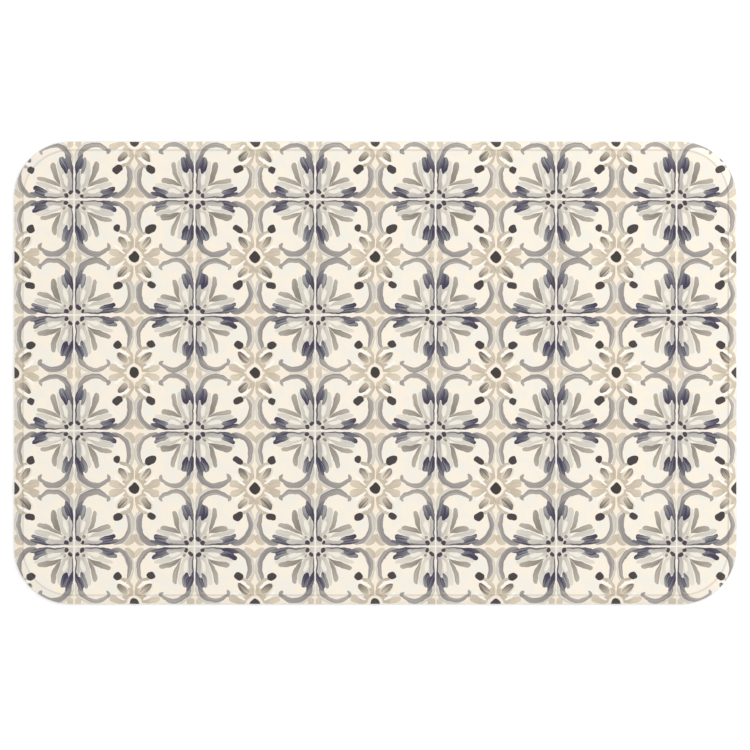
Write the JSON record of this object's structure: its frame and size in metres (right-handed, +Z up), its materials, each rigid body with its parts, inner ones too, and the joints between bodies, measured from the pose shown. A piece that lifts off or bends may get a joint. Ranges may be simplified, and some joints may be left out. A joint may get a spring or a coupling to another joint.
{
  "type": "anti fatigue mat",
  "caption": "Cushioned standing mat: a rounded rectangle with a bevelled rim, a wipe-clean face printed all over in a painted tile pattern, and a pipped non-slip underside.",
  "frame": {"origin": "middle of the underside, on the floor that the mat lies on", "axes": "+Z up, away from the floor; +X along the mat's length; +Y across its depth, towards the top edge of the print"},
  "size_m": [0.8, 0.512, 0.0127],
  "materials": {
    "face_skin": "satin",
    "backing_cloth": "matte",
    "core_foam": "matte",
    "base_rubber": "matte"
  },
  "bodies": {
    "root": {"printed_face": "face_skin", "knit_backing": "backing_cloth", "foam_core": "core_foam", "grip_base": "base_rubber"}
  },
  "joints": []
}
